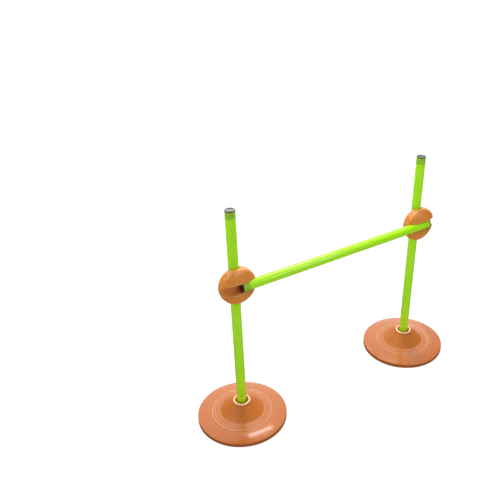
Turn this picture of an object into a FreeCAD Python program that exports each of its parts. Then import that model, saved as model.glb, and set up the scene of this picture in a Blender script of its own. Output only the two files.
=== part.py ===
"""Speed hurdle: two weighted round bases, two uprights, two snap clips and a crossbar.

Millimetres, +Z up. The origin is on the floor, midway between the two stands. The crossbar runs
along X and lies in front of the uprights, towards -Y. The three poles are the same article: a
plastic tube with a ribbed plug pressed into each end. Both clips are the same moulding, with a
bar channel in its front face and the same channel, turned upright, in its rear face.
"""
import FreeCAD, Part
import math
import os

from FreeCAD import Vector

# Layout of the hurdle: where the crossbar's ends lie, seen from the axes of the uprights
bar_height = 435.0
bar_left_inset = 3.0
bar_right_overhang = 23.0

# Poles: the length runs over both plug flanges
pole_length = 600.0
pole_diameter = 25.0
pole_wall = 1.5

# End plugs
plug_flange = 2.0
plug_edge_chamfer = 0.6
plug_dish_diameter = 18.0
plug_dish_depth = 0.5
plug_shank_length = 18.0
plug_shank_wall = 1.6
plug_rib_count = 12
plug_rib_height = 0.9
plug_rib_width = 1.6
plug_fit = 0.04

# Bases
base_diameter = 244.0
base_rim_height = 13.5
base_rim_round = 2.2
base_foot_chamfer = 1.5
deck_knee_diameter = 184.0
deck_knee_height = 21.0
deck_knee_round = 120.0
hub_foot_diameter = 116.0
hub_foot_height = 24.5
collar_diameter = 48.0
collar_height = 57.5
collar_band = 5.0
collar_round = 2.6
socket_fit = 0.08
socket_floor_height = 30.0
socket_floor_thickness = 5.0
socket_flare_diameter = 35.0
socket_flare_depth = 6.0
ring_diameters = (147.0, 160.0)
ring_width = 1.8
ring_depth = 0.8
foot_ring_width = 15.0
underside_recess = 2.0
hub_wall = 8.0
boss_wall = 6.0
rib_count = 6
rib_thickness = 5.0

# Clips
clip_diameter = 96.0
clip_thickness = 47.0
clip_dome_radius = 100.0
clip_edge_round = 8.0
channel_offset = 14.5
channel_fit = 0.08
pole_throat_gap = 21.0
lip_round = 1.5
lower_jaw_droop = 20.0
lower_jaw_round_height = 10.0
lower_jaw_crease = 0.2
bar_end_flare = 3.0
pole_end_flare = 7.0
gate_diameter = 2.6
gate_depth = 1.6
gate_angle = 130.0
gate_setback = 4.0

# One overrun serves every cut that has to pass a face
overrun = 5.0

# Sizes that follow from those above
pole_radius = pole_diameter / 2
bore_radius = pole_radius - pole_wall
socket_radius = pole_radius + socket_fit
channel_radius = pole_radius + channel_fit
bar_offset = 2 * channel_offset
stand_spacing = pole_length + bar_left_inset - bar_right_overhang
bar_left_end = bar_left_inset - stand_spacing / 2
stand_places = {"left": -stand_spacing / 2, "right": stand_spacing / 2}

ORIGIN = Vector()
X_AXIS = Vector(1, 0, 0)
Y_AXIS = Vector(0, 1, 0)
Z_AXIS = Vector(0, 0, 1)


def eased_corner(before, corner, after, radius):
    """Start, middle and end of the arc of this radius that eases a corner."""
    back = (before - corner).normalize()
    ahead = (after - corner).normalize()
    half_angle = back.getAngle(ahead) / 2
    reach = radius / math.tan(half_angle)
    sagitta = radius / math.sin(half_angle) - radius
    middle = corner + (back + ahead).normalize() * sagitta
    return corner + back * reach, middle, corner + ahead * reach


def eased_face(corners):
    """Flat face in the XZ plane, from corners (x, z, round) in order."""
    points = [Vector(x, 0, z) for x, z, _ in corners]
    runs = []
    for index, (_, _, radius) in enumerate(corners):
        point = points[index]
        if radius:
            after = points[(index + 1) % len(points)]
            runs.append(eased_corner(points[index - 1], point, after, radius))
        else:
            runs.append((point, point, point))
    edges = []
    for index, (start, middle, end) in enumerate(runs):
        if start != end:
            edges.append(Part.Arc(start, middle, end).toShape())
        edges.append(Part.makeLine(end, runs[(index + 1) % len(runs)][0]))
    return Part.Face(Part.Wire(edges))


def turned(corners):
    """Solid of revolution about Z, from the corners of its half section."""
    return eased_face(corners).revolve(ORIGIN, Z_AXIS, 360)


def wheel_of(blade, count):
    """Copies of a blade, spaced evenly about Z."""
    return [blade.rotated(ORIGIN, Z_AXIS, 360 * step / count) for step in range(count)]


def moved(shape, x=0, y=0, z=0):
    """The shape, shifted from its own frame to the hurdle's."""
    return shape.translated(Vector(x, y, z))


def make_tube():
    """Pole tube, standing on the XY plane of the pole's own frame, above its foot plug."""
    length = pole_length - 2 * plug_flange
    tube = Part.makeCylinder(pole_radius, length).cut(Part.makeCylinder(bore_radius, length))
    return moved(tube, z=plug_flange)


def make_plug():
    """Foot plug of a pole: dished flange below, hollow ribbed shank above."""
    top = plug_flange + plug_shank_length
    tip_radius = bore_radius - plug_fit
    shank_radius = tip_radius - plug_rib_height
    hollow_radius = shank_radius - plug_shank_wall
    dish_radius = plug_dish_diameter / 2
    body = turned([
        (0, plug_dish_depth, 0),
        (dish_radius - plug_dish_depth, plug_dish_depth, 0),
        (dish_radius, 0, 0),
        (pole_radius - plug_edge_chamfer, 0, 0),
        (pole_radius, plug_edge_chamfer, 0),
        (pole_radius, plug_flange, 0),
        (shank_radius, plug_flange, 0),
        (shank_radius, top - plug_edge_chamfer, 0),
        (shank_radius - plug_edge_chamfer, top, 0),
        (hollow_radius, top, 0),
        (hollow_radius, plug_flange, 0),
        (0, plug_flange, 0),
    ])
    reach = tip_radius - hollow_radius - plug_shank_wall / 2
    rib = Part.makeBox(reach, plug_rib_width, plug_shank_length - plug_edge_chamfer)
    rib = moved(rib, x=tip_radius - reach, y=-plug_rib_width / 2, z=plug_flange)
    rib = rib.common(Part.makeCylinder(tip_radius, top))
    return body.fuse(wheel_of(rib, plug_rib_count)).removeSplitter()


def make_head_plug():
    """The same plug turned over, at the head of the pole."""
    return moved(make_plug().rotated(ORIGIN, X_AXIS, 180), z=pole_length)


def deck_height(radius):
    """Height of the base's deck at a distance from its axis, between the hub and the knee."""
    slope = 2 * (hub_foot_height - deck_knee_height) / (deck_knee_diameter - hub_foot_diameter)
    return deck_knee_height + slope * (deck_knee_diameter / 2 - radius)


def make_base():
    """Base with its conical hub, pole socket, deck rings and ribbed underside."""
    rim_radius = base_diameter / 2
    hub_radius = hub_foot_diameter / 2
    collar_radius = collar_diameter / 2
    boss_radius = socket_radius + boss_wall
    boss_foot = socket_floor_height - socket_floor_thickness
    foot_inner_radius = rim_radius - foot_ring_width
    pocket_radius = hub_radius - hub_wall
    pocket_top_radius = boss_radius + hub_wall / 2
    cone_slope = (collar_height - collar_band - hub_foot_height) / (hub_radius - collar_radius)
    pocket_foot = hub_foot_height - hub_wall
    pocket_top = pocket_foot + cone_slope * (pocket_radius - pocket_top_radius)
    body = turned([
        (0, socket_floor_height, 0),
        (socket_radius, socket_floor_height, 0),
        (socket_radius, collar_height - socket_flare_depth, 0),
        (socket_flare_diameter / 2, collar_height, 0),
        (collar_radius, collar_height, collar_round),
        (collar_radius, collar_height - collar_band, 0),
        (hub_radius, hub_foot_height, 0),
        (deck_knee_diameter / 2, deck_knee_height, deck_knee_round),
        (rim_radius, base_rim_height, base_rim_round),
        (rim_radius, base_foot_chamfer, 0),
        (rim_radius - base_foot_chamfer, 0, 0),
        (foot_inner_radius, 0, 0),
        (foot_inner_radius, underside_recess, 0),
        (pocket_radius, underside_recess, 0),
        (pocket_radius, pocket_foot, 0),
        (pocket_top_radius, pocket_top, 0),
        (boss_radius, pocket_top, 0),
        (boss_radius, boss_foot, 0),
        (0, boss_foot, 0),
    ])
    pocket = turned([
        (boss_radius - boss_wall / 2, underside_recess, 0),
        (pocket_radius + hub_wall / 2, underside_recess, 0),
        (pocket_radius + hub_wall / 2, pocket_foot, 0),
        (pocket_top_radius, pocket_top + hub_wall / 2, 0),
        (boss_radius - boss_wall / 2, pocket_top + hub_wall / 2, 0),
    ])
    rib = moved(Part.makeBox(hub_radius, rib_thickness, collar_height), y=-rib_thickness / 2)
    base = body.fuse([pocket.common(blade) for blade in wheel_of(rib, rib_count)])
    for diameter in ring_diameters:
        inner = diameter / 2 - ring_width / 2
        outer = diameter / 2 + ring_width / 2
        base = base.cut(turned([
            (inner, deck_height(inner) + overrun, 0),
            (inner, deck_height(inner), 0),
            (diameter / 2, deck_height(diameter / 2) - ring_depth, 0),
            (outer, deck_height(outer), 0),
            (outer, deck_height(inner) + overrun, 0),
        ]))
    return base.removeSplitter()


def clip_blank():
    """Ball flattened in front and behind to a shallow dome, with both ridges eased."""
    ball = clip_diameter / 2
    half = clip_thickness / 2
    dome_centre = Y_AXIS * (half - clip_dome_radius)
    inner_ball = ball - clip_edge_round
    inner_dome = clip_dome_radius - clip_edge_round
    depth = (dome_centre.y ** 2 - inner_dome ** 2 + inner_ball ** 2) / (2 * dome_centre.y)
    ridge_centre = Vector(math.sqrt(inner_ball ** 2 - depth ** 2), depth, 0)
    ball_way = Vector(ridge_centre).normalize()
    dome_way = (ridge_centre - dome_centre).normalize()
    rear = [
        dome_centre + Y_AXIS * clip_dome_radius,
        dome_centre + (Y_AXIS + dome_way).normalize() * clip_dome_radius,
        dome_centre + dome_way * clip_dome_radius,
        ridge_centre + (ball_way + dome_way).normalize() * clip_edge_round,
        ball_way * ball,
    ]
    front = [Vector(point.x, -point.y, 0) for point in reversed(rear)]
    outline = rear + [X_AXIS * ball] + front
    arcs = [Part.Arc(*outline[first:first + 3]) for first in range(0, len(outline) - 1, 2)]
    closing = Part.LineSegment(front[-1], rear[0])
    wire = Part.Wire([edge.toShape() for edge in arcs + [closing]])
    return Part.Face(wire).revolve(ORIGIN, Y_AXIS, 360)


def channel_cutter(mouth, end_flare):
    """Cutter along X for a channel: a bore with flared ends, and its mouth towards -Y."""
    half_length = clip_diameter / 2 + overrun
    bore = Part.makeCylinder(channel_radius, 2 * half_length, X_AXIS * -half_length, X_AXIS)
    section = mouth.rotated(ORIGIN, Z_AXIS, 90)
    cuts = [moved(section, x=-half_length).extrude(X_AXIS * (2 * half_length))]
    for way in (-1, 1):
        foot = X_AXIS * way * (clip_diameter / 2 - end_flare)
        height = end_flare + overrun
        cuts.append(Part.makeCone(channel_radius, channel_radius + height, height, foot, X_AXIS * way))
    return moved(bore.fuse(cuts), y=-channel_offset)


def bar_channel():
    """Bar channel: a straight jaw above, a jaw below that droops and rounds off into the dome."""
    front = clip_thickness / 2 - channel_offset
    roof = channel_radius + 2 * lip_round
    jaw_drop = channel_radius + lower_jaw_round_height
    lean = math.asin(jaw_drop / clip_dome_radius)
    touch = front - clip_dome_radius * (1 - math.cos(lean)) + lower_jaw_crease
    droop = math.radians(lower_jaw_droop)
    seat_back = channel_radius * math.sin(droop)
    seat_drop = channel_radius * math.cos(droop)
    jaw_run = seat_back + touch + (jaw_drop - seat_drop) * math.tan(lean)
    jaw_length = jaw_run / (math.cos(droop) + math.sin(droop) * math.tan(lean))
    corner_drop = seat_drop + jaw_length * math.sin(droop)
    jaw_reach = (jaw_drop - corner_drop) / math.cos(lean)
    jaw_round = jaw_reach / math.tan((math.pi / 2 + lean - droop) / 2)
    return channel_cutter(eased_face([
        (0, channel_radius, 0),
        (-front, channel_radius, lip_round),
        (-front, roof, 0),
        (-front - overrun, roof, 0),
        (-front - overrun, -jaw_drop - overrun, 0),
        (-touch + overrun * math.tan(lean), -jaw_drop - overrun, 0),
        (seat_back - jaw_length * math.cos(droop), -corner_drop, jaw_round),
        (seat_back, -seat_drop, 0),
    ]), bar_end_flare)


def pole_channel():
    """Pole channel: the same bore upright in the rear face, with a throat that snaps on the pole."""
    throat = pole_throat_gap / 2
    front = clip_thickness / 2 - channel_offset
    brow = throat + 2 * lip_round
    cutter = channel_cutter(eased_face([
        (0, -throat, 0),
        (0, throat, 0),
        (-front, throat, lip_round),
        (-front, brow, 0),
        (-front - overrun, brow, 0),
        (-front - overrun, -brow, 0),
        (-front, -brow, 0),
        (-front, -throat, lip_round),
    ]), pole_end_flare)
    return cutter.rotated(ORIGIN, X_AXIS + Z_AXIS, 180)


def make_clip():
    """Snap clip about the middle of its own thickness: bar channel in front, pole channel behind."""
    clip = clip_blank().cut([bar_channel(), pole_channel()])
    gate = Part.makeCylinder(gate_diameter / 2, gate_depth + overrun)
    gate = moved(gate, y=-gate_setback, z=clip_diameter / 2 - gate_depth)
    clip = clip.cut(gate.rotated(ORIGIN, Y_AXIS, 90 - gate_angle))
    return clip.removeSplitter()


def lay_bar(shape):
    """A piece of an upright pole, laid along X as the crossbar."""
    lying = shape.copy()
    lying.rotate(ORIGIN, Y_AXIS, 90)
    return moved(lying, bar_left_end, -bar_offset, bar_height)


def build_nodes():
    """Every piece of the hurdle at rest, by the name of its node."""
    tube = make_tube()
    foot_plug = make_plug()
    head_plug = make_head_plug()
    base = make_base()
    clip = make_clip()
    nodes = {}
    for side, x in stand_places.items():
        nodes[f"{side}_base"] = moved(base, x)
        nodes[f"{side}_upright"] = moved(tube, x, z=socket_floor_height)
        nodes[f"{side}_foot_plug"] = moved(foot_plug, x, z=socket_floor_height)
        nodes[f"{side}_top_plug"] = moved(head_plug, x, z=socket_floor_height)
        nodes[f"{side}_clip"] = moved(clip, x, -channel_offset, bar_height)
    nodes["crossbar"] = lay_bar(tube)
    nodes["crossbar_left_plug"] = lay_bar(foot_plug)
    nodes["crossbar_right_plug"] = lay_bar(head_plug)
    return nodes


os.makedirs("parts", exist_ok=True)
for name, shape in build_nodes().items():
    shape.exportStep(f"parts/{name}.step")
    print(name, "solids", len(shape.Solids), "valid", shape.isValid(), "mm3", round(shape.Volume))
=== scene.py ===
"""Looks of a speed hurdle, built around its fixed frame.

Two round bases carry lime uprights, a ball-shaped clip slides on each upright, and the two clips hold
a lime crossbar. Sizes are in metres and in the frame's own axes: +X along the bar, -Y to its front,
+Z up. Each moulding is modelled once, about its own axis, and its copies are set where the frame has
their places.
"""

import logging
import math
from contextlib import contextmanager
from dataclasses import dataclass, replace
from enum import Enum
from typing import Any, Callable, Iterator, Sequence, Union

import bmesh
import bpy
from mathutils import Euler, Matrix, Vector


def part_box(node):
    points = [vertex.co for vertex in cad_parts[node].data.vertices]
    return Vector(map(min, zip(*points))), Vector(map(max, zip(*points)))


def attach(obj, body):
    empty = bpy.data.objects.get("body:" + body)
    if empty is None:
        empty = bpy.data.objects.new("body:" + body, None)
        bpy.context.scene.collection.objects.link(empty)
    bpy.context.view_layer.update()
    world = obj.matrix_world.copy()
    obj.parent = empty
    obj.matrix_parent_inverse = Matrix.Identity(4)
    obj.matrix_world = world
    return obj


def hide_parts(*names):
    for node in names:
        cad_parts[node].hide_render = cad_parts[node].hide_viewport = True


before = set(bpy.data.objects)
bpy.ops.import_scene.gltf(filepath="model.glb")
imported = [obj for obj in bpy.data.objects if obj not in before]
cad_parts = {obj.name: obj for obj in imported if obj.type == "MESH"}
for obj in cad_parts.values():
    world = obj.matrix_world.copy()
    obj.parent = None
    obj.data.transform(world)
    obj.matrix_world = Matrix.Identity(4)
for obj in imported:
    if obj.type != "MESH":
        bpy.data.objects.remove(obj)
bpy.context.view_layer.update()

LOG = logging.getLogger("hurdle")
MM = 0.001
QUARTER_TURN = math.pi / 2
FULL_TURN = 2 * math.pi
SMOOTH_ANGLE = math.radians(35)
WELD = 0.001 * MM
ROUND_PROFILE = 0.5
COAT_ROUGHNESS = 0.12
MIDDLE_OF_NOISE = 0.5

Colour = tuple[float, float, float, float]
Place = tuple[float, float, float]
Span = tuple[float, float]


def srgb(red: int, green: int, blue: int) -> Colour:
    """A colour as a screen shows it, made linear.

    Args:
        red: Red, from 0 to 255.
        green: Green, from 0 to 255.
        blue: Blue, from 0 to 255.

    Returns:
        The linear colour, opaque.
    """
    shares = [channel / 255 for channel in (red, green, blue)]
    linear = [((share + 0.055) / 1.055) ** 2.4 if share > 0.04045 else share / 12.92 for share in shares]
    return (linear[0], linear[1], linear[2], 1.0)


class Side(Enum):
    """The two stands of the hurdle."""

    LEFT = "left"
    RIGHT = "right"


class Lie(Enum):
    """How a pole lies: on end, or along the bar."""

    UPRIGHT = "upright"
    LEVEL = "level"


class Carve(Enum):
    """What a second shape does to a piece."""

    CUT = "DIFFERENCE"
    JOIN = "UNION"


@dataclass(frozen=True)
class Corner:
    """A corner of an outline in the XZ plane, with the radius that eases it."""

    x: float
    z: float
    easing: float = 0.0

    def point(self) -> Vector:
        """The corner as a point."""
        return Vector((self.x, 0, self.z))


def start_clear() -> None:
    """Leave edit mode and deselect everything, so that an operator meets only the new piece."""
    if bpy.context.mode != "OBJECT":
        bpy.ops.object.mode_set(mode="OBJECT")
    bpy.ops.object.select_all(action="DESELECT")


def take(piece: bpy.types.Object) -> None:
    """Make a piece the only one selected, and the active one."""
    start_clear()
    piece.select_set(True)
    bpy.context.view_layer.objects.active = piece


def add_piece(name: str, operator: Callable[..., Any], **settings: Any) -> bpy.types.Object:
    """Add an object with an operator, and name it.

    Args:
        name: The object's name.
        operator: The operator that adds it.
        settings: The operator's settings, by name.

    Returns:
        The new object.
    """
    start_clear()
    operator(**settings)
    piece = bpy.context.object
    piece.name = name
    piece.data.name = name
    return piece


@contextmanager
def editing(piece: bpy.types.Object, element: str) -> Iterator[None]:
    """Hold a piece in edit mode, with everything in it selected.

    Args:
        piece: The piece to open.
        element: What is selected in it: VERT, EDGE or FACE.
    """
    take(piece)
    bpy.ops.object.mode_set(mode="EDIT")
    bpy.ops.mesh.select_mode(type=element)
    bpy.ops.mesh.select_all(action="SELECT")
    yield
    bpy.ops.object.mode_set(mode="OBJECT")


def pick_points(piece: bpy.types.Object, wanted: Callable[[Vector], bool]) -> None:
    """Select, in edit mode, the points whose place passes a test.

    Args:
        piece: The piece in edit mode.
        wanted: The test on a point's place.
    """
    bpy.ops.mesh.select_all(action="DESELECT")
    mesh = bmesh.from_edit_mesh(piece.data)
    for point in mesh.verts:
        if wanted(point.co):
            point.select_set(True)
    mesh.select_flush(True)
    bmesh.update_edit_mesh(piece.data)


def apply_modifier(piece: bpy.types.Object, kind: str, **settings: Any) -> None:
    """Add a modifier to a piece and apply it.

    Args:
        piece: The piece to change.
        kind: The modifier's type.
        settings: Its settings, by name.
    """
    take(piece)
    modifier = piece.modifiers.new(kind.title(), kind)
    for name, value in settings.items():
        setattr(modifier, name, value)
    bpy.ops.object.modifier_apply(modifier=modifier.name)


def carve(piece: bpy.types.Object, tool: bpy.types.Object, way: Carve) -> None:
    """Cut a shape out of a piece, or join it to the piece, and throw the shape away.

    Args:
        piece: The piece that stays.
        tool: The shape that is used up.
        way: Whether it cuts or joins.
    """
    apply_modifier(piece, "BOOLEAN", operation=way.value, solver="MANIFOLD", object=tool)
    bpy.data.objects.remove(tool)


def settle(piece: bpy.types.Object, place: Vector, turn: Euler = Euler()) -> None:
    """Turn and move a piece, and keep its place in its mesh.

    Args:
        piece: The piece to move.
        place: Where its own origin goes.
        turn: How it is turned about that origin first.
    """
    piece.rotation_euler = turn
    piece.location = place
    take(piece)
    bpy.ops.object.transform_apply(location=True, rotation=True, scale=True)


def copy_of(piece: bpy.types.Object, name: str) -> bpy.types.Object:
    """A copy of a piece with its own mesh.

    Args:
        piece: The piece to copy.
        name: The copy's name.

    Returns:
        The copy.
    """
    take(piece)
    bpy.ops.object.duplicate(linked=False)
    twin = bpy.context.object
    twin.name = name
    twin.data.name = name
    return twin


def join_all(pieces: Sequence[bpy.types.Object]) -> bpy.types.Object:
    """Several separate shapes as one object.

    Args:
        pieces: The shapes, which are used up.

    Returns:
        The object that holds them all.
    """
    take(pieces[0])
    for piece in pieces:
        piece.select_set(True)
    bpy.ops.object.join()
    return pieces[0]


def wheel_of(blade: bpy.types.Object, count: int) -> bpy.types.Object:
    """Copies of a blade, evenly spaced about Z, as one object.

    Args:
        blade: The first blade, which is used up.
        count: How many there are in all.

    Returns:
        The object that holds them.
    """
    blades = [blade]
    for step in range(1, count):
        twin = copy_of(blade, f"{blade.name}_{step}")
        settle(twin, Vector(), Euler((0, 0, FULL_TURN * step / count)))
        blades.append(twin)
    return join_all(blades)


def smooth(piece: bpy.types.Object) -> None:
    """Shade a piece smooth, apart from its sharp edges."""
    take(piece)
    bpy.ops.object.shade_smooth_by_angle(angle=SMOOTH_ANGLE)


def ease_corner(piece: bpy.types.Object, before: Vector, corner: Vector, after: Vector,
                radius: float, steps: int) -> None:
    """Round a corner of an outline that is open in edit mode.

    Args:
        piece: The outline.
        before: The corner before it.
        corner: The corner to round.
        after: The corner after it.
        radius: The rounding's radius.
        steps: How many edges the rounding has.
    """
    half_angle = (before - corner).angle(after - corner) / 2
    pick_points(piece, lambda place: (place - corner).length < WELD)
    bpy.ops.mesh.bevel(offset_type="OFFSET", offset=radius / math.tan(half_angle), segments=steps,
                       profile=ROUND_PROFILE, affect="VERTICES", clamp_overlap=False)


def draw_outline(name: str, corners: Sequence[Corner], steps: int) -> bpy.types.Object:
    """Draw an open outline, corner by corner, and round the corners that are eased.

    Args:
        name: The outline's name.
        corners: Its corners, in order.
        steps: How many edges each rounding has.

    Returns:
        The outline as an object of edges.
    """
    points = [corner.point() for corner in corners]
    outline = add_piece(name, bpy.ops.mesh.primitive_plane_add, size=MM)
    settle(outline, points[0])
    with editing(outline, "VERT"):
        bpy.ops.mesh.merge(type="CENTER")
        for near, far in zip(points, points[1:]):
            bpy.ops.mesh.extrude_vertices_move(TRANSFORM_OT_translate={"value": far - near})
        for index, corner in enumerate(corners):
            if corner.easing:
                ease_corner(outline, points[index - 1], points[index], points[index + 1],
                            corner.easing, steps)
    return outline


def turn_outline(outline: bpy.types.Object, sides: int) -> None:
    """Spin an outline about Z into a closed shape.

    Args:
        outline: The outline, which becomes the shape.
        sides: How many steps the turn has.
    """
    with editing(outline, "VERT"):
        bpy.ops.mesh.spin(steps=sides, angle=FULL_TURN, center=(0, 0, 0), axis=(0, 0, 1))
        bpy.ops.mesh.select_all(action="SELECT")
        bpy.ops.mesh.remove_doubles(threshold=WELD)
        bpy.ops.mesh.normals_make_consistent(inside=False)


def add_block(name: str, low: Vector, high: Vector) -> bpy.types.Object:
    """A block between two corners, as a start for a shaped piece.

    Args:
        name: The block's name.
        low: Its lowest corner.
        high: Its highest corner.

    Returns:
        The block.
    """
    block = add_piece(name, bpy.ops.mesh.primitive_cube_add, size=1, scale=high - low)
    settle(block, (low + high) / 2)
    return block


def add_rod(name: str, radius: float, length: float, sides: int, flare: float = 0.0) -> bpy.types.Object:
    """A rod along Z about the origin, as a start for a shaped piece or as a cutter.

    Args:
        name: The rod's name.
        radius: The radius of its lower end.
        length: Its length.
        sides: How many sides it has.
        flare: How much wider its upper end is.

    Returns:
        The rod.
    """
    return add_piece(name, bpy.ops.mesh.primitive_cone_add, vertices=sides, radius1=radius,
                     radius2=radius + flare, depth=length)


@dataclass(frozen=True)
class Grain:
    """The grain of a noise: how many features to a metre, and how many finer layers."""

    scale: float
    detail: float


class Value:
    """A shader socket that stands in Python sums, each of which adds its Math node."""

    def __init__(self, graph: "Graph", socket: Any) -> None:
        """Hold a socket and the graph that it is in."""
        self.graph = graph
        self.socket = socket

    def outlet(self, name: str) -> "Value":
        """Another output of the same node."""
        return Value(self.graph, self.socket.node.outputs[name])

    def _sum(self, operation: str, first: "Term", second: "Term") -> "Value":
        """The Math node for one operation."""
        return self.graph.add("ShaderNodeMath", {"operation": operation}, {0: first, 1: second})

    def __add__(self, other: "Term") -> "Value":
        """Sum of two values."""
        return self._sum("ADD", self, other)

    __radd__ = __add__

    def __sub__(self, other: "Term") -> "Value":
        """Difference of two values."""
        return self._sum("SUBTRACT", self, other)

    def __rsub__(self, other: "Term") -> "Value":
        """Difference, from a plain number."""
        return self._sum("SUBTRACT", other, self)

    def __mul__(self, other: "Term") -> "Value":
        """Product of two values."""
        return self._sum("MULTIPLY", self, other)

    __rmul__ = __mul__

    def __pow__(self, other: "Term") -> "Value":
        """Power of a value."""
        return self._sum("POWER", self, other)

    def __abs__(self) -> "Value":
        """Size of a value, without its sign."""
        return self._sum("ABSOLUTE", self, 0.0)

    def hypot(self, other: "Value") -> "Value":
        """The distance that two steps at right angles make."""
        return (self * self + other * other) ** 0.5

    def swing(self, size: float) -> "Value":
        """How far a noise is off its middle, made a given size."""
        return (self - MIDDLE_OF_NOISE) * size

    def most(self, other: "Term") -> "Value":
        """The larger of two values."""
        return self._sum("MAXIMUM", self, other)

    def ramp(self, low: float, high: float) -> "Value":
        """A smooth rise from 0 to 1.

        Args:
            low: The value at which it leaves 0.
            high: The value at which it reaches 1.

        Returns:
            The ramped value.
        """
        rise = {"Value": self, "From Min": low, "From Max": high}
        return self.graph.add("ShaderNodeMapRange", {"interpolation_type": "SMOOTHSTEP"}, rise)

    def fall(self, low: float, high: float) -> "Value":
        """A smooth fall from 1 at the low value to 0 at the high one."""
        return 1 - self.ramp(low, high)


Term = Union[Value, float]


class Graph:
    """The nodes of one material or of the world."""

    def __init__(self, tree: bpy.types.NodeTree) -> None:
        """Take over a node tree and empty it."""
        self.tree = tree
        tree.nodes.clear()

    def add(self, kind: str, settings: dict[str, Any], inputs: dict[Any, Any],
            output: Union[int, str] = 0) -> Value:
        """Add a node.

        Args:
            kind: The node's type.
            settings: What is set on the node itself, first.
            inputs: The value or the link of each socket, by name or number.
            output: The output that is wanted.

        Returns:
            That output, or the node's first input where it has no output.
        """
        node = self.tree.nodes.new(kind)
        for name, value in settings.items():
            setattr(node, name, value)
        for key, value in inputs.items():
            if isinstance(value, Value):
                self.tree.links.new(value.socket, node.inputs[key])
            else:
                node.inputs[key].default_value = value
        return Value(self, node.outputs[output] if node.outputs else node.inputs[0])

    def blend(self, first: Any, second: Any, share: Term) -> Value:
        """A colour between two colours.

        Args:
            first: The colour at share 0.
            second: The colour at share 1.
            share: Where between them.

        Returns:
            The blended colour.
        """
        return self.add("ShaderNodeMix", {"data_type": "RGBA"}, {0: share, 6: first, 7: second}, 2)

    def noise(self, place: Value, grain: Grain, socket: str = "Vector") -> Value:
        """Soft noise about one half.

        Args:
            place: Where on the piece, or how far along one line.
            grain: The noise's grain.
            socket: Vector for a place, or W for a distance along one line.

        Returns:
            The noise.
        """
        settings = {"noise_dimensions": "1D" if socket == "W" else "3D"}
        inputs = {socket: place, "Scale": grain.scale, "Detail": grain.detail}
        return self.add("ShaderNodeTexNoise", settings, inputs)

    def mottle(self, broad: Value, fine: Value, fine_share: float, span: Span) -> Value:
        """Two noises as one ramped share.

        Args:
            broad: The broad noise.
            fine: The fine noise.
            fine_share: How much of the fine one is in the sum.
            span: Where the ramp leaves 0 and reaches 1.

        Returns:
            The share.
        """
        return (broad * (1 - fine_share) + fine * fine_share).ramp(*span)


@dataclass
class Surface:
    """What a finish lays on a piece: colour, roughness, relief in metres and clear gloss."""

    colour: Value
    roughness: Value
    relief: Value
    gloss: Term


@dataclass(frozen=True)
class Plastic:
    """A glossy plastic; each kind adds its own colour and marks."""

    label: str
    slot: str
    tint: Colour
    shade: Colour
    roughness: float
    gloss: float

    def lay(self, graph: Graph, place: Value) -> Surface:
        """Lay the finish's colour and marks.

        Args:
            graph: The material's graph.
            place: Where on the piece, from the piece's own centre.

        Returns:
            The surface.
        """
        raise NotImplementedError

    def dress(self, piece: bpy.types.Object, centre: Vector, turn: Euler = Euler()) -> None:
        """Give a piece a material of this finish.

        Args:
            piece: The piece to dress.
            centre: Where the finish's pattern is centred.
            turn: How the piece's axes are turned for the pattern.
        """
        material = bpy.data.materials.new(f"{self.label}_{piece.name}")
        material.use_nodes = True
        graph = Graph(material.node_tree)
        coordinates = graph.add("ShaderNodeTexCoord", {}, {}, "Object")
        shift = {"Vector": coordinates, "Location": centre, "Rotation": turn}
        place = graph.add("ShaderNodeMapping", {"vector_type": "TEXTURE"}, shift)
        surface = self.lay(graph, place)
        normal = graph.add("ShaderNodeBump", {}, {"Height": surface.relief, "Distance": 1.0})
        shader = graph.add("ShaderNodeBsdfPrincipled", {}, {
            "Base Color": surface.colour,
            "Roughness": surface.roughness,
            "Normal": normal,
            "Coat Weight": surface.gloss,
            "Coat Roughness": COAT_ROUGHNESS,
        })
        graph.add("ShaderNodeOutputMaterial", {}, {"Surface": shader})
        piece.data.materials.clear()
        piece.data.materials.append(material)


def axis_distance(graph: Graph, place: Value) -> tuple[Value, Value, Value]:
    """How a place lies about the Z axis of a pattern.

    Args:
        graph: The material's graph.
        place: The place.

    Returns:
        The distance from the axis, the height along it and the angle about it.
    """
    parts = graph.add("ShaderNodeSeparateXYZ", {}, {"Vector": place}, "X")
    across = parts.outlet("Y")
    distance = parts.hypot(across)
    angle = graph.add("ShaderNodeMath", {"operation": "ARCTAN2"}, {0: across, 1: parts})
    return distance, parts.outlet("Z"), angle


@dataclass(frozen=True)
class Line:
    """A line round a base, where a painted highlight or painted shade is laid."""

    distance: float
    height: float
    width: float
    share: float

    def near(self, distance: Value, height: Value) -> Value:
        """How strongly the line marks a place.

        Args:
            distance: The place's distance from the base's axis.
            height: The place's height.

        Returns:
            The line's share on the line, down to none at its width away.
        """
        gap = (distance - self.distance).hypot(height - self.height)
        return gap.fall(0.0, self.width) * self.share


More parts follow.
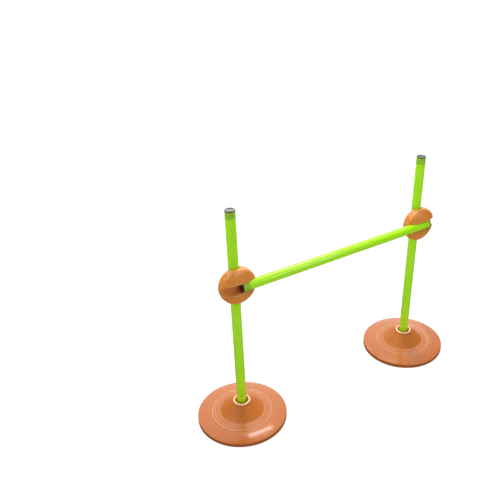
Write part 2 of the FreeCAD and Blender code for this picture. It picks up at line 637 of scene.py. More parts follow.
@dataclass(frozen=True)
class Terracotta(Plastic):
    """Moulded base: clouded, finely turned on the deck, with painted shade in its grooves, hub crease and low
    on the rim, and painted highlights on its edges and rings.
    """

    painted_highlight: Colour
    painted_shade: Colour
    hub_painted_tone: Colour
    hub_radius: float
    hub_roughness: float
    ring_reach: float
    highlight_lines: tuple[Line, ...]
    shade_lines: tuple[Line, ...]
    cloud: Grain = Grain(38.0, 4.0)
    speck: Grain = Grain(900.0, 2.0)
    turning: Grain = Grain(700.0, 2.0)
    ring: Grain = Grain(300.0, 1.0)
    speck_share: float = 0.3
    tint_span: Span = (0.2, 0.6)
    glint_ring_span: Span = (0.54, 0.68)
    glint_ring_share: float = 0.16
    shade_ring_span: Span = (0.34, 0.46)
    shade_ring_share: float = 0.5
    ring_fade: float = 20 * MM
    hub_edge: float = 1 * MM
    highlight_least: float = 0.7
    highlight_speck: float = 0.6
    roughness_swing: float = 0.1
    turning_depth: float = 0.02 * MM
    speck_depth: float = 0.012 * MM

    def lay(self, graph: Graph, place: Value) -> Surface:
        """Lay clouds, turning marks, painted shade in the grooves and crease, painted highlights on the
        edges, and a satin hub in its own painted tone.
        """
        distance, height, _ = axis_distance(graph, place)
        cloud = graph.noise(place, self.cloud)
        speck = graph.noise(place, self.speck)
        turning = graph.noise(distance, self.turning, "W")
        rings = graph.noise(distance, self.ring, "W")
        deck = distance.ramp(self.hub_radius - self.hub_edge, self.hub_radius + self.hub_edge)
        ringed = deck * distance.fall(self.ring_reach - self.ring_fade, self.ring_reach)
        tinted = graph.mottle(cloud, speck, self.speck_share, self.tint_span)
        # Painted light: the hub gets its own tone of the same plastic, set for the light its front gets,
        # unlike the deck.
        colour = graph.blend(self.hub_painted_tone, self.tint, deck)
        colour = graph.blend(self.shade, colour, tinted)
        # Painted glints: pale concentric lines on the deck, where fine rings catch the light.
        light = ringed * rings.ramp(*self.glint_ring_span) * self.glint_ring_share
        colour = graph.blend(colour, self.painted_highlight, light)
        # Painted shade: darker concentric lines beside the glints.
        ring_shade = ringed * rings.fall(*self.shade_ring_span) * self.shade_ring_share
        colour = graph.blend(colour, self.painted_shade, ring_shade)
        # Painted shade at the hub's foot, in the ring grooves' inner edges and low on the rim's side.
        for line in self.shade_lines:
            colour = graph.blend(colour, self.painted_shade, line.near(distance, height))
        # Painted highlights on the collar lip, the rim's top edge and the ring grooves' outer edges, broken
        # up by the specks.
        patchy = self.highlight_least + speck * self.highlight_speck
        for line in self.highlight_lines:
            colour = graph.blend(colour, self.painted_highlight, line.near(distance, height) * patchy)
        satin = (1 - deck) * (self.hub_roughness - self.roughness)
        uneven = cloud.swing(self.roughness_swing) + turning.swing(self.roughness_swing)
        relief = turning.swing(self.turning_depth) + speck.swing(self.speck_depth)
        return Surface(colour, self.roughness + satin + uneven, relief, deck * self.gloss)


@dataclass(frozen=True)
class LimeTube(Plastic):
    """Extruded tube: drawn lines along it, and the end plugs' ribs showing through its wall as painted shade.

    The far share says how strongly the painted shade of the far end's plug shows, against that of the near
    end.
    """

    shadowed: Colour
    length: float
    plug_depth: float
    rib_count: int
    far_share: float = 1.0
    drawn: Grain = Grain(900.0, 2.0)
    cloud: Grain = Grain(30.0, 3.0)
    scuff: Grain = Grain(260.0, 5.0)
    drawn_squeeze: float = 0.02
    drawn_share: float = 0.4
    tint_span: Span = (0.3, 0.7)
    band_edge: Span = (-2 * MM, 1.5 * MM)
    band_share: float = 0.62
    rib_span: Span = (-0.2, 0.9)
    rib_share: float = 0.25
    middle_reach: float = 1 * MM
    scuff_span: Span = (0.62, 0.8)
    scuff_roughness: float = 0.18
    drawn_roughness: float = 0.12
    drawn_depth: float = 0.012 * MM
    scuff_depth: float = 0.006 * MM

    def lay(self, graph: Graph, place: Value) -> Surface:
        """Lay the drawn lines, the scuffs and the plug bands of painted shade near both ends."""
        _, height, angle = axis_distance(graph, place)
        squeeze = {"Vector": place, "Scale": (1.0, 1.0, self.drawn_squeeze)}
        drawn = graph.noise(graph.add("ShaderNodeMapping", {}, squeeze), self.drawn)
        cloud = graph.noise(place, self.cloud)
        scuffs = graph.noise(place, self.scuff)
        inset = self.length / 2 - abs(height) - self.plug_depth
        turns = graph.add("ShaderNodeMath", {"operation": "COSINE"}, {0: angle * float(self.rib_count)})
        ribbed = self.band_share + turns.ramp(*self.rib_span) * self.rib_share
        shown = 1 - height.ramp(-self.middle_reach, self.middle_reach) * (1 - self.far_share)
        tinted = graph.mottle(cloud, drawn, self.drawn_share, self.tint_span)
        colour = graph.blend(self.shade, self.tint, tinted)
        # The plugs inside are real pieces; the band laid over them is painted shade, where they block the
        # light through the wall.
        colour = graph.blend(colour, self.shadowed, inset.fall(*self.band_edge) * shown * ribbed)
        uneven = drawn.swing(self.drawn_roughness) + scuffs.ramp(*self.scuff_span) * self.scuff_roughness
        relief = drawn.swing(self.drawn_depth) + scuffs.swing(self.scuff_depth)
        return Surface(colour, self.roughness + uneven, relief, self.gloss)


@dataclass(frozen=True)
class OrangeMoulding(Plastic):
    """Moulded clip: flow clouds, fine grain, a scuffed outside, and painted shade in the gate mark and on the
    lower jaw.
    """

    rubbed: Colour
    recess_shade: Colour
    ball_radius: float
    channel_offset: float
    channel_radius: float
    gate: Vector
    gate_radius: float
    cloud: Grain = Grain(55.0, 4.0)
    grain: Grain = Grain(1400.0, 2.0)
    scuff: Grain = Grain(210.0, 5.0)
    grain_share: float = 0.25
    tint_span: Span = (0.32, 0.68)
    outside_depth: float = 0.1
    rub_span: Span = (0.5, 0.8)
    rub_share: float = 0.35
    gate_shade_reach: float = 1.7
    dull_reach: float = 2.0
    worn_reach: float = 5 * MM
    channel_shade_reach: float = 22 * MM
    channel_shade_share: float = 0.2
    jaw_blend: float = 6 * MM
    bare_roughness: float = 0.35
    cloud_roughness: float = 0.14
    scuff_span: Span = (0.55, 0.8)
    scuff_roughness: float = 0.12
    grain_depth: float = 0.015 * MM
    cloud_depth: float = 0.05 * MM

    def lay(self, graph: Graph, place: Value) -> Surface:
        """Lay the flow clouds, the grain, the scuffed outside, and painted shade in the gate's hollow and on
        the lower jaw.
        """
        cloud = graph.noise(place, self.cloud)
        grain = graph.noise(place, self.grain)
        scuffs = graph.noise(place, self.scuff)
        reach = graph.add("ShaderNodeVectorMath", {"operation": "LENGTH"}, {0: place}, "Value")
        gap = graph.add("ShaderNodeVectorMath", {"operation": "DISTANCE"}, {0: place, 1: self.gate}, "Value")
        height = graph.add("ShaderNodeSeparateXYZ", {}, {"Vector": place}, "Z")
        bar_gap = height.hypot(height.outlet("Y") + self.channel_offset) - self.channel_radius
        outside = reach.ramp(self.ball_radius * (1 - self.outside_depth), self.ball_radius)
        lower = height.fall(-self.jaw_blend, self.jaw_blend)
        tinted = graph.mottle(cloud, grain, self.grain_share, self.tint_span)
        colour = graph.blend(self.shade, self.tint, tinted)
        colour = graph.blend(colour, self.rubbed, outside * scuffs.ramp(*self.rub_span) * self.rub_share)
        # Painted shade: the gate's hollow is darkened towards its middle.
        colour = graph.blend(colour, self.recess_shade, gap.fall(self.gate_radius, self.gate_radius * self.gate_shade_reach))
        # Painted shade: the lower jaw is darkened along the bar channel, under the upper jaw.
        colour = graph.blend(colour, self.recess_shade, bar_gap.fall(0.0, self.channel_shade_reach) * lower * self.channel_shade_share)
        dull = gap.fall(self.gate_radius, self.gate_radius * self.dull_reach)
        bare = bar_gap.fall(0.0, self.worn_reach).most(dull)
        uneven = cloud.swing(self.cloud_roughness) + scuffs.ramp(*self.scuff_span) * self.scuff_roughness
        roughness = self.roughness + bare * self.bare_roughness + uneven
        relief = grain.swing(self.grain_depth) + cloud.swing(self.cloud_depth)
        return Surface(colour, roughness, relief, (1 - bare) * self.gloss)


@dataclass(frozen=True)
class BlackPlug(Plastic):
    """Black end plug: fine grain, and a flange rubbed grey."""

    rubbed: Colour
    grain: Grain = Grain(1600.0, 2.0)
    scuff: Grain = Grain(420.0, 5.0)
    tint_span: Span = (0.3, 0.7)
    rub_span: Span = (0.55, 0.8)
    rub_share: float = 0.5
    rub_roughness: float = 0.12
    grain_roughness: float = 0.08
    grain_depth: float = 0.01 * MM

    def lay(self, graph: Graph, place: Value) -> Surface:
        """Lay the grain and the rub marks."""
        grain = graph.noise(place, self.grain)
        rub = graph.noise(place, self.scuff).ramp(*self.rub_span)
        colour = graph.blend(self.shade, self.tint, grain.ramp(*self.tint_span))
        colour = graph.blend(colour, self.rubbed, rub * self.rub_share)
        roughness = self.roughness + grain.swing(self.grain_roughness) + rub * self.rub_roughness
        return Surface(colour, roughness, grain.swing(self.grain_depth), self.gloss)


def hand_over(shape: bpy.types.Object, node: str, body: str, finish: Plastic, place: Vector,
              turn: Euler = Euler(), grain: Euler = Euler()) -> None:
    """Set a dressed copy of a moulding in place, to stand for its node of the frame.

    Args:
        shape: The moulding to copy.
        node: The node that the copy stands for.
        body: The body that carries it.
        finish: Its finish.
        place: Where the moulding's own origin goes.
        turn: How the copy is turned about that origin.
        grain: How the finish's pattern is turned.
    """
    piece = copy_of(shape, f"{node}_look")
    settle(piece, place, turn)
    finish.dress(piece, place, grain)
    smooth(piece)
    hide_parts(node)
    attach(piece, body)
    low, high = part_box(node)
    LOG.info("%s stands for %s on %s, %.0f mm wide", piece.name, node, body, (high.x - low.x) / MM)


def middle_of(node: str) -> Vector:
    """The middle of a node's box."""
    low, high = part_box(node)
    return (low + high) / 2


@dataclass
class Pole:
    """A pole: a tube with a ribbed plug in each end, made on end about the middle of its length."""

    radius: float
    length: float
    wall: float = 1.5 * MM
    flange: float = 2 * MM
    edge_easing: float = 0.6 * MM
    mouth_easing: float = 0.3 * MM
    dish_radius: float = 9 * MM
    dish_depth: float = 0.5 * MM
    shank_length: float = 18 * MM
    shank_wall: float = 1.6 * MM
    rib_count: int = 12
    rib_height: float = 0.9 * MM
    rib_width: float = 1.6 * MM
    rib_easing: float = 0.2 * MM
    fit: float = 0.04 * MM
    sides: int = 96
    easing_steps: int = 4
    bevel_steps: int = 2

    def make_tube(self) -> bpy.types.Object:
        """The tube between the two flanges.

        Returns:
            The tube, with eased mouths.
        """
        tube = add_piece("tube", bpy.ops.mesh.primitive_cylinder_add, vertices=self.sides, radius=self.radius,
                         depth=self.length - 2 * self.flange, end_fill_type="NOTHING")
        apply_modifier(tube, "SOLIDIFY", thickness=self.wall, offset=-1.0)
        apply_modifier(tube, "BEVEL", width=self.mouth_easing, segments=self.bevel_steps,
                       limit_method="ANGLE")
        return tube

    def make_plug(self) -> bpy.types.Object:
        """The plug of the lower end: a dished flange, and a hollow shank with ribs.

        Returns:
            The plug.
        """
        foot = -self.length / 2
        seat = foot + self.flange
        tip = seat + self.shank_length
        rib_radius = self.radius - self.wall - self.fit
        shank_radius = rib_radius - self.rib_height
        hollow_radius = shank_radius - self.shank_wall
        plug = draw_outline("plug", [
            Corner(0, foot + self.dish_depth),
            Corner(self.dish_radius - self.dish_depth, foot + self.dish_depth, self.dish_depth),
            Corner(self.dish_radius, foot, self.dish_depth),
            Corner(self.radius, foot, self.edge_easing),
            Corner(self.radius, seat),
            Corner(shank_radius, seat),
            Corner(shank_radius, tip, self.edge_easing),
            Corner(hollow_radius, tip),
            Corner(hollow_radius, seat),
            Corner(0, seat),
        ], self.easing_steps)
        turn_outline(plug, self.sides)
        root = hollow_radius + self.shank_wall / 2
        half_width = self.rib_width / 2
        rib = add_block("rib", Vector((root, -half_width, seat - self.flange / 2)),
                        Vector((rib_radius, half_width, tip - self.edge_easing)))
        apply_modifier(rib, "BEVEL", width=self.rib_easing, segments=self.bevel_steps)
        carve(plug, wheel_of(rib, self.rib_count), Carve.JOIN)
        return plug

    def build(self, tube: bpy.types.Object, plug: bpy.types.Object, body: str, nodes: Sequence[str],
              lie: Lie, finishes: "Finishes") -> None:
        """Set a copy of the tube and of its two plugs in place, and dress them.

        Args:
            tube: The tube to copy.
            plug: The lower end's plug to copy.
            body: The body that carries them.
            nodes: The nodes of the tube, of the plug at its start and of the plug at its end.
            lie: How the pole lies.
            finishes: The finishes of all pieces.
        """
        place = middle_of(nodes[0])
        level = lie is Lie.LEVEL
        turn = Euler((0, QUARTER_TURN, 0)) if level else Euler()
        over = Euler((0, turn.y + math.pi, 0))
        hand_over(tube, nodes[0], body, finishes.bar if level else finishes.tube, place, turn, turn)
        hand_over(plug, nodes[1], body, finishes.plug, place, turn, turn)
        hand_over(plug, nodes[2], body, finishes.plug, place, over, turn)


@dataclass
class Base:
    """A round base with a conical hub and a pole socket, made about its own axis on the floor."""

    radius: float
    height: float
    pole_radius: float
    rim_height: float = 13.5 * MM
    rim_easing: float = 2.2 * MM
    foot_easing: float = 1.5 * MM
    knee_radius: float = 92 * MM
    knee_height: float = 21 * MM
    knee_easing: float = 120 * MM
    hub_radius: float = 58 * MM
    hub_height: float = 24.5 * MM
    hub_easing: float = 0.6 * MM
    collar_radius: float = 24 * MM
    collar_band: float = 5 * MM
    collar_easing: float = 2.6 * MM
    socket_fit: float = 0.08 * MM
    socket_floor: float = 30 * MM
    socket_floor_wall: float = 5 * MM
    flare_radius: float = 17.5 * MM
    flare_depth: float = 6 * MM
    flare_easing: float = 1.6 * MM
    ring_radii: tuple[float, ...] = (80 * MM, 73.5 * MM)
    ring_width: float = 1.8 * MM
    ring_depth: float = 0.8 * MM
    ring_easing: float = 0.5 * MM
    foot_ring: float = 15 * MM
    recess: float = 2 * MM
    hub_wall: float = 8 * MM
    boss_wall: float = 6 * MM
    rib_count: int = 6
    rib_thickness: float = 5 * MM
    sides: int = 160
    easing_steps: int = 6

    def deck_height(self, distance: float) -> float:
        """Height of the deck at a distance from the axis, between the hub and the knee."""
        slope = (self.hub_height - self.knee_height) / (self.knee_radius - self.hub_radius)
        return self.knee_height + slope * (self.knee_radius - distance)

    def ring_corners(self) -> list[Corner]:
        """The corners of the deck's grooves, from the hub out."""
        corners = []
        for radius in sorted(self.ring_radii):
            inner = radius - self.ring_width / 2
            outer = radius + self.ring_width / 2
            corners.append(Corner(inner, self.deck_height(inner), self.ring_easing))
            corners.append(Corner(radius, self.deck_height(radius) - self.ring_depth, self.ring_easing))
            corners.append(Corner(outer, self.deck_height(outer), self.ring_easing))
        return corners

    def make(self) -> bpy.types.Object:
        """Model the base.

        Returns:
            The base, standing on the floor about the Z axis.
        """
        socket = self.pole_radius + self.socket_fit
        boss = socket + self.boss_wall
        boss_foot = self.socket_floor - self.socket_floor_wall
        foot_inner = self.radius - self.foot_ring
        slope = (self.height - self.collar_band - self.hub_height) / (self.hub_radius - self.collar_radius)
        pocket = self.hub_radius - self.hub_wall
        pocket_foot = self.hub_height - self.hub_wall
        roof_start = boss + self.hub_wall / 2
        roof = pocket_foot + slope * (pocket - roof_start)
        base = draw_outline("base", [
            Corner(0, self.socket_floor),
            Corner(socket, self.socket_floor),
            Corner(socket, self.height - self.flare_depth, self.flare_easing),
            Corner(self.flare_radius, self.height, self.flare_easing),
            Corner(self.collar_radius, self.height, self.collar_easing),
            Corner(self.collar_radius, self.height - self.collar_band, self.hub_easing),
            Corner(self.hub_radius, self.hub_height, self.hub_easing),
            *self.ring_corners(),
            Corner(self.knee_radius, self.knee_height, self.knee_easing),
            Corner(self.radius, self.rim_height, self.rim_easing),
            Corner(self.radius, 0, self.foot_easing),
            Corner(foot_inner, 0),
            Corner(foot_inner, self.recess),
            Corner(pocket, self.recess),
            Corner(pocket, pocket_foot),
            Corner(roof_start, roof),
            Corner(boss, roof),
            Corner(boss, boss_foot),
            Corner(0, boss_foot),
        ], self.easing_steps)
        turn_outline(base, self.sides)
        half = self.rib_thickness / 2
        root = boss - self.boss_wall / 2
        reach = pocket + self.hub_wall / 2
        rib = add_block("rib", Vector((root, -half, self.recess)), Vector((reach, half, roof)))
        with editing(rib, "VERT"):
            pick_points(rib, lambda place: place.x > roof_start and place.z > pocket_foot)
            bpy.ops.transform.translate(value=(0, 0, pocket_foot - roof))
        carve(base, wheel_of(rib, self.rib_count), Carve.JOIN)
        return base

    def build(self, shape: bpy.types.Object, side: Side, finishes: "Finishes") -> None:
        """Set a copy of the base in place and dress it.

        Args:
            shape: The base to copy.
            side: Which stand it is for.
            finishes: The finishes of all pieces.
        """
        node = f"{side.value}_base"
        middle = middle_of(node)
        hand_over(shape, node, node, finishes.base, Vector((middle.x, middle.y, 0)))


@dataclass
class Clip:
    """A snap clip, made about its middle: a flattened ball with a channel for the bar and the pole."""

    ball_radius: float
    pole_radius: float
    channel_offset: float
    half_thickness: float = 23.5 * MM
    dome_radius: float = 100 * MM
    ridge_easing: float = 8 * MM
    channel_fit: float = 0.08 * MM
    throat: float = 10.5 * MM
    lip_easing: float = 1.5 * MM
    jaw_droop: float = math.radians(20)
    jaw_height: float = 10 * MM
    bar_flare: float = 3 * MM
    pole_flare: float = 7 * MM
    gate_radius: float = 1.3 * MM
    gate_depth: float = 1.6 * MM
    gate_angle: float = math.radians(130)
    gate_setback: float = 4 * MM
    overrun: float = 5 * MM
    sides: int = 128
    bore_sides: int = 64
    gate_sides: int = 24
    arc_steps: int = 24
    easing_steps: int = 6
    voxel: float = 0.7 * MM
    smoothing: int = 5
    smoothing_share: float = 0.5

    def outline(self) -> list[Corner]:
        """The half outline of the flattened ball, from its front to its back."""
        dome_middle = self.half_thickness - self.dome_radius
        inner_ball = self.ball_radius - self.ridge_easing
        inner_dome = self.dome_radius - self.ridge_easing
        ridge_z = (dome_middle ** 2 - inner_dome ** 2 + inner_ball ** 2) / (2 * dome_middle)
        ridge_x = math.sqrt(inner_ball ** 2 - ridge_z ** 2)
        dome_end = math.atan2(ridge_x, ridge_z - dome_middle)
        ball_end = math.atan2(ridge_x, ridge_z)
        corners = []
        for x, z, radius, start, end in (
            (0.0, dome_middle, self.dome_radius, 0.0, dome_end),
            (ridge_x, ridge_z, self.ridge_easing, dome_end, ball_end),
            (0.0, 0.0, self.ball_radius, ball_end, QUARTER_TURN),
        ):
            for step in range(self.arc_steps):
                angle = start + (end - start) * step / self.arc_steps
                corners.append(Corner(x + radius * math.sin(angle), z + radius * math.cos(angle)))
        rear = [Corner(corner.x, -corner.z) for corner in reversed(corners)]
        return corners + [Corner(self.ball_radius, 0)] + rear

    def channel(self, mouth: Sequence[Corner], end_flare: float) -> list[bpy.types.Object]:
        """A channel along Y, as cutters: its section right through the clip, and a flare at each end.

        Args:
            mouth: The corners of its mouth, towards -X, from one end of the bore's arc to the other.
            end_flare: How deep the flares go.

        Returns:
            The cutters.
        """
        bore = self.pole_radius + self.channel_fit
        start = math.atan2(mouth[-1].z, mouth[-1].x)
        end = math.atan2(mouth[0].z, mouth[0].x)
        turns = [start + (end - start) * step / self.bore_sides for step in range(1, self.bore_sides)]
        arc = [Corner(bore * math.cos(turn), bore * math.sin(turn)) for turn in turns]
        section = draw_outline("channel", [*mouth, *arc], self.easing_steps)
        half = self.ball_radius + self.overrun
        with editing(section, "VERT"):
            bpy.ops.mesh.edge_face_add()
            bpy.ops.transform.translate(value=(0, -half, 0))
            bpy.ops.mesh.extrude_region_move(TRANSFORM_OT_translate={"value": (0, 2 * half, 0)})
            bpy.ops.mesh.select_all(action="SELECT")
            bpy.ops.mesh.normals_make_consistent(inside=False)
        cutters = [section]
        length = end_flare + 2 * self.overrun
        reach = self.ball_radius + self.overrun - length / 2
        for way in (-1, 1):
            flare = add_rod("flare", bore - self.overrun, length, self.bore_sides, length)
            settle(flare, Vector((0, way * reach, 0)), Euler((-way * QUARTER_TURN, 0, 0)))
            cutters.append(flare)
        return cutters

    def bar_cutters(self) -> list[bpy.types.Object]:
        """The bar channel: a straight jaw above, and one below that droops and rounds off into the dome."""
        bore = self.pole_radius + self.channel_fit
        front = self.half_thickness - self.channel_offset
        brow = bore + 2 * self.lip_easing
        drop = bore + self.jaw_height
        lean = math.asin(drop / self.dome_radius)
        touch = front - self.dome_radius * (1 - math.cos(lean))
        seat_back = bore * math.sin(self.jaw_droop)
        seat_drop = bore * math.cos(self.jaw_droop)
        run = seat_back + touch + (drop - seat_drop) * math.tan(lean)
        length = run / (math.cos(self.jaw_droop) + math.sin(self.jaw_droop) * math.tan(lean))
        corner_drop = seat_drop + length * math.sin(self.jaw_droop)
        reach = (drop - corner_drop) / math.cos(lean)
        easing = reach / math.tan((QUARTER_TURN + lean - self.jaw_droop) / 2)
        return self.channel([
            Corner(0, bore),
            Corner(-front, bore, self.lip_easing),
            Corner(-front, brow),
            Corner(-front - self.overrun, brow),
            Corner(-front - self.overrun, -drop - self.overrun),
            Corner(-touch + self.overrun * math.tan(lean), -drop - self.overrun),
            Corner(seat_back - length * math.cos(self.jaw_droop), -corner_drop, easing),
            Corner(seat_back, -seat_drop),
        ], self.bar_flare)

    def pole_cutters(self) -> list[bpy.types.Object]:
        """The pole channel, whose throat is narrower than the pole."""
        bore = self.pole_radius + self.channel_fit
        front = self.half_thickness - self.channel_offset
        brow = self.throat + 2 * self.lip_easing
        meeting = -math.sqrt(bore ** 2 - self.throat ** 2)
        return self.channel([
            Corner(meeting, self.throat),
            Corner(-front, self.throat, self.lip_easing),
            Corner(-front, brow),
            Corner(-front - self.overrun, brow),
            Corner(-front - self.overrun, -brow),
            Corner(-front, -brow),
            Corner(-front, -self.throat, self.lip_easing),
            Corner(meeting, -self.throat),
        ], self.pole_flare)

    def make(self) -> bpy.types.Object:
        """Model the clip.

        Returns:
            The clip about its own middle, with the bar channel to the front.
        """
        clip = draw_outline("clip", self.outline(), 1)
        turn_outline(clip, self.sides)
        settle(clip, Vector(), Euler((QUARTER_TURN, 0, 0)))
        for cutter in self.bar_cutters():
            settle(cutter, Vector((0, -self.channel_offset, 0)), Euler((0, 0, QUARTER_TURN)))
            carve(clip, cutter, Carve.CUT)
        for cutter in self.pole_cutters():
            settle(cutter, Vector(), Euler((QUARTER_TURN, 0, 0)))
            settle(cutter, Vector((0, self.channel_offset, 0)), Euler((0, 0, -QUARTER_TURN)))
            carve(clip, cutter, Carve.CUT)
        gate = add_rod("gate", self.gate_radius, 2 * self.gate_depth, self.gate_sides)
        settle(gate, Vector((0, -self.gate_setback, self.ball_radius)))
        settle(gate, Vector(), Euler((0, QUARTER_TURN - self.gate_angle, 0)))
        carve(clip, gate, Carve.CUT)
        apply_modifier(clip, "REMESH", mode="VOXEL", voxel_size=self.voxel, use_smooth_shade=True)
        apply_modifier(clip, "SMOOTH", factor=self.smoothing_share, iterations=self.smoothing)
        return clip

    def build(self, shape: bpy.types.Object, side: Side, finishes: "Finishes") -> None:
        """Set a copy of the clip in place and dress it.

        Args:
            shape: The clip to copy.
            side: Which stand it is for.
            finishes: The finishes of all pieces.
        """
        node = f"{side.value}_clip"
        upright = middle_of(f"{side.value}_upright")
        place = Vector((upright.x, upright.y - self.channel_offset, middle_of(node).z))
        hand_over(shape, node, node, finishes.clip, place)


@dataclass(frozen=True)
class Finishes:
    """The finishes of all pieces."""

    base: Terracotta
    tube: LimeTube
    bar: LimeTube
    clip: OrangeMoulding
    plug: BlackPlug


def make_finishes(pole: Pole, base: Base, clip: Clip) -> Finishes:
    """The four finishes, fitted to the pieces that they dress.

    Args:
        pole: The pole's sizes.
        base: The base's sizes.
        clip: The clip's sizes.

    Returns:
        The finishes.
    """
    gate = Vector((0, -clip.gate_setback, clip.ball_radius))
    gate.rotate(Euler((0, QUARTER_TURN - clip.gate_angle, 0)))
    half_rim = base.rim_easing / 2
    # Painted highlights on the collar lip and the rim's top edge.
    highlights = [
        Line(base.collar_radius - base.collar_easing, base.height, width=5 * MM, share=1.0),
        Line(base.radius - half_rim, base.rim_height - half_rim, width=1.6 * MM, share=0.55),
    ]
    # Painted shade at the hub's foot and low on the rim's side.
    shades = [
        Line(base.hub_radius, base.hub_height, width=1.6 * MM, share=0.25),
        Line(base.radius, height=0.3 * base.rim_height, width=8 * MM, share=0.5),
    ]
    # Each ring groove: a painted highlight on its outer edge, painted shade on its inner edge.
    for radius in base.ring_radii:
        outer = radius + base.ring_width / 2
        inner = radius - base.ring_width / 2
        highlights.append(Line(outer, base.deck_height(outer), width=1.7 * MM, share=0.45))
        shades.append(Line(inner, base.deck_height(inner), width=1.7 * MM, share=0.5))
    tube = LimeTube(
        label="lime", slot="pole", tint=srgb(174, 243, 15), shade=srgb(168, 237, 13), roughness=0.3,
        gloss=0.5, shadowed=srgb(138, 178, 52), length=pole.length,
        plug_depth=pole.flange + pole.shank_length, rib_count=pole.rib_count)
    return Finishes(
        # The base's colours include its painted highlight, its painted shade and the hub's painted tone.
        base=Terracotta(
            label="terracotta", slot="base", tint=srgb(184, 100, 34), shade=srgb(178, 95, 26), roughness=0.2,
            gloss=0.5, painted_highlight=srgb(255, 205, 165), painted_shade=srgb(154, 74, 28), hub_painted_tone=srgb(188, 102, 11),
            hub_radius=base.hub_radius, hub_roughness=0.5, ring_reach=base.knee_radius + 12 * MM,
            highlight_lines=tuple(highlights), shade_lines=tuple(shades)),
        tube=tube,
        # The bar's far end gets a fainter band of painted shade than its near end.
        bar=replace(tube, far_share=0.35),
        clip=OrangeMoulding(
            label="orange", slot="clip", tint=srgb(228, 143, 55), shade=srgb(220, 135, 48), roughness=0.32,
            gloss=0.55, rubbed=srgb(250, 180, 92), recess_shade=srgb(54, 18, 3), ball_radius=clip.ball_radius,
            channel_offset=clip.channel_offset, channel_radius=clip.pole_radius + clip.channel_fit,
            gate=gate, gate_radius=clip.gate_radius),
        plug=BlackPlug(
            label="black", slot="plug", tint=srgb(30, 30, 32), shade=srgb(18, 18, 20), roughness=0.14,
            gloss=0.6, rubbed=srgb(70, 70, 74)),
    )


@dataclass
class Lamp:
    """A soft studio panel that faces a point, and whether it is mirrored and whether it lights."""

    name: str
    place: Place
    aim: Place
    size: tuple[float, float]
    brightness: float
    mirrored: bool = True
    lighting: bool = True

    def build(self) -> None:
        """Hang the panel."""
        lamp = add_piece(self.name, bpy.ops.object.light_add, type="AREA", location=self.place)
        lamp.rotation_euler = (Vector(self.place) - Vector(self.aim)).to_track_quat("Z", "Y").to_euler()
        lamp.data.shape = "RECTANGLE"
        lamp.data.size, lamp.data.size_y = self.size
        lamp.data.energy = self.brightness * math.pi * self.size[0] * self.size[1]
        lamp.visible_camera = False
        lamp.visible_glossy = self.mirrored
        lamp.visible_diffuse = self.lighting


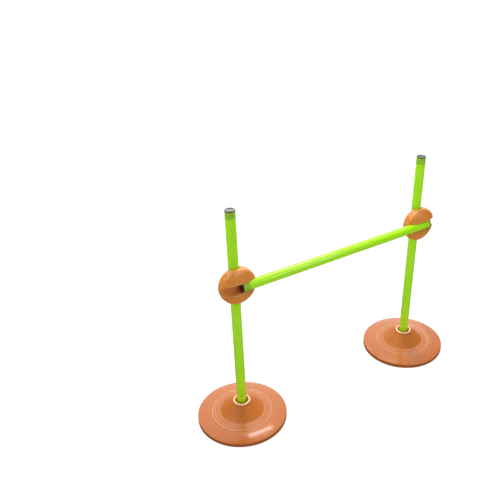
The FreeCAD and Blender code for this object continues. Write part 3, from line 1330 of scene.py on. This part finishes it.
@dataclass
class Studio:
    """A pale floor, a white surround, soft panels and the camera."""

    floor_span: float = 40.0
    floor_drop: float = 0.2 * MM
    floor_colour: Colour = (0.68, 0.68, 0.68, 1.0)
    white: Colour = (1.0, 1.0, 1.0, 1.0)
    floor_lift: float = 0.72
    shadow_reach: tuple[float, float] = (0.8, 2.0)
    floor_glow: float = 1.2
    surround: float = 0.43
    mirrored: float = 0.02
    camera_place: Vector = Vector((-902.49 * MM, -1208.18 * MM, 1294.15 * MM))
    azimuth: float = math.radians(-33.62)
    elevation: float = math.radians(32.78)
    frame_pixels: tuple[int, int] = (499, 500)
    focal_pixels: float = 659.54
    centre_pixel: tuple[float, float] = (300.0, 285.0)
    sensor: float = 36.0

    def make_floor(self) -> None:
        """Lay the floor: lifted towards white for the camera, all white far off, and dim in reflections."""
        floor = add_piece("floor", bpy.ops.mesh.primitive_plane_add, size=self.floor_span,
                          location=(0, 0, -self.floor_drop))
        material = bpy.data.materials.new("floor")
        material.use_nodes = True
        graph = Graph(material.node_tree)
        rays = graph.add("ShaderNodeLightPath", {}, {}, "Is Camera Ray")
        matt = graph.add("ShaderNodeBsdfDiffuse", {}, {"Color": self.floor_colour})
        glow = graph.add("ShaderNodeEmission", {}, {"Color": self.white, "Strength": self.floor_glow})
        dim = graph.add("ShaderNodeEmission", {}, {"Color": self.white, "Strength": self.mirrored})
        coordinates = graph.add("ShaderNodeTexCoord", {}, {}, "Object")
        distance, _, _ = axis_distance(graph, coordinates)
        lift = distance.ramp(*self.shadow_reach) * (1 - self.floor_lift) + self.floor_lift
        seen = graph.add("ShaderNodeMixShader", {}, {0: rays * lift, 1: matt, 2: glow})
        mixed = graph.add("ShaderNodeMixShader", {}, {0: rays.outlet("Is Glossy Ray"), 1: seen, 2: dim})
        graph.add("ShaderNodeOutputMaterial", {}, {"Surface": mixed})
        floor.data.materials.append(material)

    def make_world(self) -> None:
        """Surround the object with an even light, dim in reflections and white behind the object."""
        world = bpy.data.worlds.new("surround")
        world.use_nodes = True
        bpy.context.scene.world = world
        graph = Graph(world.node_tree)
        rays = graph.add("ShaderNodeLightPath", {}, {}, "Is Camera Ray")
        light = graph.add("ShaderNodeBackground", {}, {"Color": self.white, "Strength": self.surround})
        dim = graph.add("ShaderNodeBackground", {}, {"Color": self.white, "Strength": self.mirrored})
        seen = graph.add("ShaderNodeBackground", {}, {"Color": self.white, "Strength": 1.0})
        around = graph.add("ShaderNodeMixShader", {}, {0: rays.outlet("Is Glossy Ray"), 1: light, 2: dim})
        mixed = graph.add("ShaderNodeMixShader", {}, {0: rays, 1: around, 2: seen})
        graph.add("ShaderNodeOutputWorld", {}, {"Surface": mixed})

    def make_lamps(self) -> None:
        """Hang the wide panels that the decks mirror, the fills with no mirror image and the gloss card."""
        middle = (0, 0, 0.3)
        left_top = (-0.29, 0, 0.63)
        for lamp in (
            Lamp("backdrop_panel", (1.375, 2.07, 2.31), middle, size=(7.0, 6.0), brightness=0.74),
            Lamp("side_panel", (0.53, 2.63, 2.31), (-0.85, 0.56, 0.3), size=(5.0, 6.0), brightness=0.4),
            Lamp("back_light", (0.93, 2.14, 5.0), (0, 0, 0.1), size=(0.95, 0.95), brightness=35.0,
                 mirrored=False),
            Lamp("top_fill", (0.36, 0.33, 1.82), (0.36, -0.5, 0), size=(0.78, 0.28), brightness=8.2,
                 mirrored=False),
            Lamp("gloss_card", (0.1, 0.145, 1.04), (0.1, -0.33, 0), size=(0.44, 0.16), brightness=10.0,
                 lighting=False),
            Lamp("left_panel", (-1.6, 0.3, 2.0), middle, size=(1.2, 1.2), brightness=3.7),
            Lamp("right_panel", (0.6, -1.8, 1.4), (0.29, 0, 0.3), size=(1.2, 1.2), brightness=2.4),
            Lamp("rear_panel", (0.32, 1.2, 1.29), left_top, size=(0.15, 0.15), brightness=2.6),
        ):
            lamp.build()

    def make_camera(self) -> None:
        """Set the camera at the photograph's viewing angle."""
        turn = Euler((QUARTER_TURN - self.elevation, 0, self.azimuth))
        camera = add_piece("Camera", bpy.ops.object.camera_add, location=self.camera_place, rotation=turn)
        long_side = max(self.frame_pixels)
        camera.data.sensor_width = self.sensor
        camera.data.lens = self.focal_pixels / long_side * self.sensor
        camera.data.shift_x = (self.frame_pixels[0] / 2 - self.centre_pixel[0]) / long_side
        camera.data.shift_y = (self.centre_pixel[1] - self.frame_pixels[1] / 2) / long_side
        bpy.context.scene.camera = camera

    def build(self) -> None:
        """Set up the whole studio."""
        bpy.context.scene.view_settings.view_transform = "Standard"
        self.make_floor()
        self.make_world()
        self.make_lamps()
        self.make_camera()


@dataclass
class Hurdle:
    """The whole hurdle, measured from the frame."""

    pole: Pole
    base: Base
    clip: Clip

    @classmethod
    def from_frame(cls) -> "Hurdle":
        """Read the driving sizes from the frame's boxes."""
        tube_low, tube_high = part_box("left_upright")
        foot_low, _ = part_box("left_foot_plug")
        _, head_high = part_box("left_top_plug")
        base_low, base_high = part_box("left_base")
        clip_low, clip_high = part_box("left_clip")
        pole_radius = (tube_high.x - tube_low.x) / 2
        bar_gap = middle_of("left_upright").y - middle_of("crossbar").y
        return cls(
            pole=Pole(pole_radius, head_high.z - foot_low.z),
            base=Base((base_high.x - base_low.x) / 2, base_high.z, pole_radius),
            clip=Clip((clip_high.x - clip_low.x) / 2, pole_radius, bar_gap / 2),
        )

    def build(self) -> None:
        """Model each moulding once and set its copies in place."""
        finishes = make_finishes(self.pole, self.base, self.clip)
        base = self.base.make()
        clip = self.clip.make()
        tube = self.pole.make_tube()
        plug = self.pole.make_plug()
        for side in Side:
            name = side.value
            self.base.build(base, side, finishes)
            self.clip.build(clip, side, finishes)
            nodes = [f"{name}_upright", f"{name}_foot_plug", f"{name}_top_plug"]
            self.pole.build(tube, plug, f"{name}_upright", nodes, Lie.UPRIGHT, finishes)
        bar_nodes = ["crossbar", "crossbar_left_plug", "crossbar_right_plug"]
        self.pole.build(tube, plug, "crossbar", bar_nodes, Lie.LEVEL, finishes)
        for pattern in (base, clip, tube, plug):
            bpy.data.objects.remove(pattern)


def main() -> None:
    """Build the hurdle and its studio."""
    logging.basicConfig(level=logging.INFO, format="%(name)s: %(message)s")
    Hurdle.from_frame().build()
    Studio().build()


if __name__ == "__main__":
    main()
